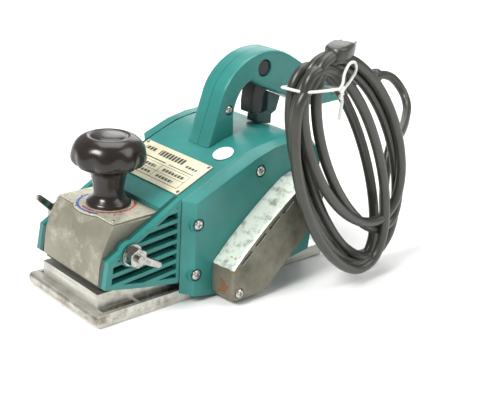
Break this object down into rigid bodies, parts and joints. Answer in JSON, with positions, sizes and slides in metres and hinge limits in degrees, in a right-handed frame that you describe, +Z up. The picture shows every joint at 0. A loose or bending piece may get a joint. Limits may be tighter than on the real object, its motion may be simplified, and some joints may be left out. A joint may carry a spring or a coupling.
{
  "type": "electric hand planer",
  "caption": "electric hand planer with a belt-driven cutter drum, depth knob, sliding front base, open-tail grip with trigger and a tied coil of mains cord",
  "frame": {"origin": "on the sole, in the middle of the rear base, on the centre plane", "axes": "+Z up from the sole, -Y towards the depth knob, +X towards the belt cover"},
  "size_m": [0.1753, 0.3637, 0.2006],
  "materials": {
    "teal_plastic": "teal moulded plastic",
    "cast_housing": "grey cast alloy",
    "machined_alloy": "machined alloy",
    "bracket_paint": "worn grey-beige paint",
    "bright_steel": "bright steel",
    "dark_steel": "dark steel",
    "copper": "copper and laminations",
    "black_plastic": "black plastic",
    "knob_plastic": "dark brown gloss plastic",
    "rubber": "dark olive-grey rubber",
    "carbon": "carbon",
    "plate_cream": "cream printed plate",
    "white_paper": "white",
    "post_grey": "dark teal plastic"
  },
  "bodies": {
    "housing": {"dust_seal": "rubber", "front_bracket": "bracket_paint", "scale_plate": "bracket_paint", "rib_panel_left": "teal_plastic", "rib_panel_right": "teal_plastic", "main_frame": "cast_housing", "rear_base": "machined_alloy", "cutter_bearing_left": "bright_steel", "cutter_bearing_right": "bright_steel", "drive_belt": "rubber", "belt_cover": "cast_housing", "field_stator": "dark_steel", "motor_bearing_left": "bright_steel", "motor_bearing_right": "bright_steel", "brush_holder_front": "copper", "brush_front": "carbon", "brush_holder_rear": "copper", "brush_rear": "carbon", "motor_housing": "teal_plastic", "side_cover_left": "teal_plastic", "side_cover_right": "teal_plastic", "chip_chute": "black_plastic", "cover_screw_1": "bright_steel", "cover_screw_2": "bright_steel", "cover_screw_3": "bright_steel", "belt_cover_screw": "bright_steel", "handle_left": "teal_plastic", "handle_right": "teal_plastic", "handle_post": "post_grey", "switch_body": "black_plastic", "handle_screw_1": "bright_steel", "handle_screw_2": "bright_steel", "cord_guard": "rubber", "nameplate": "plate_cream", "round_sticker": "white_paper", "cord": "rubber", "cord_coil": "rubber", "cord_tie": "white_paper", "plug": "rubber"},
    "front_shoe": {"front_base": "machined_alloy"},
    "knob": {"depth_knob": "knob_plastic", "depth_screw": "bright_steel"},
    "wing_left": {"wing_bolt_left": "bright_steel"},
    "wing_right": {"wing_bolt_right": "bright_steel"},
    "cutter": {"cutter_drum": "dark_steel", "blade_1": "bright_steel", "blade_2": "bright_steel", "blade_clamp_1": "dark_steel", "blade_clamp_2": "dark_steel", "cutter_pulley": "cast_housing"},
    "armature": {"armature_shaft": "bright_steel", "armature_core": "copper", "commutator": "copper", "fan": "black_plastic", "motor_pulley": "cast_housing"},
    "trigger": {"trigger": "black_plastic"},
    "lock_button": {"lock_button": "black_plastic"}
  },
  "joints": [
    {"name": "front_base_slide", "type": "slide", "parent": "housing", "child": "front_shoe", "axis": [0, 0, 1], "range_m": [0, 0.003]},
    {"name": "depth_knob_turn", "type": "hinge", "parent": "housing", "child": "knob", "pos_m": [0, -0.136, 0.098], "axis": [0, 0, 1], "range_deg": [0, 271]},
    {"name": "wing_bolt_left_turn", "type": "hinge", "parent": "housing", "child": "wing_left", "pos_m": [0.051, -0.1478, 0.0508], "axis": [1, 0, 0], "range_deg": [0, 60]},
    {"name": "wing_bolt_right_turn", "type": "hinge", "parent": "housing", "child": "wing_right", "pos_m": [-0.051, -0.1478, 0.0508], "axis": [1, 0, 0], "range_deg": [0, 60]},
    {"name": "armature_spin", "type": "hinge", "parent": "housing", "child": "armature", "pos_m": [0.015, -0.007, 0.065], "axis": [1, 0, 0], "continuous": true},
    {"name": "cutter_spin", "type": "hinge", "parent": "housing", "child": "cutter", "pos_m": [0, -0.057, 0.0205], "axis": [1, 0, 0], "continuous": true},
    {"name": "trigger_pull", "type": "hinge", "parent": "housing", "child": "trigger", "pos_m": [0, 0.009, 0.147], "axis": [1, 0, 0], "range_deg": [0, 8], "stiffness_Nm_per_rad": 0.5},
    {"name": "lock_button_press", "type": "slide", "parent": "housing", "child": "lock_button", "axis": [-1, 0, 0], "range_m": [0, 0.0015], "stiffness_N_per_m": 300}
  ],
  "couplings": [
    {"joint": "depth_knob_turn", "follows": "front_base_slide", "rad_per_m": 1570.8},
    {"joint": "armature_spin", "follows": "cutter_spin", "ratio": 0.8}
  ]
}
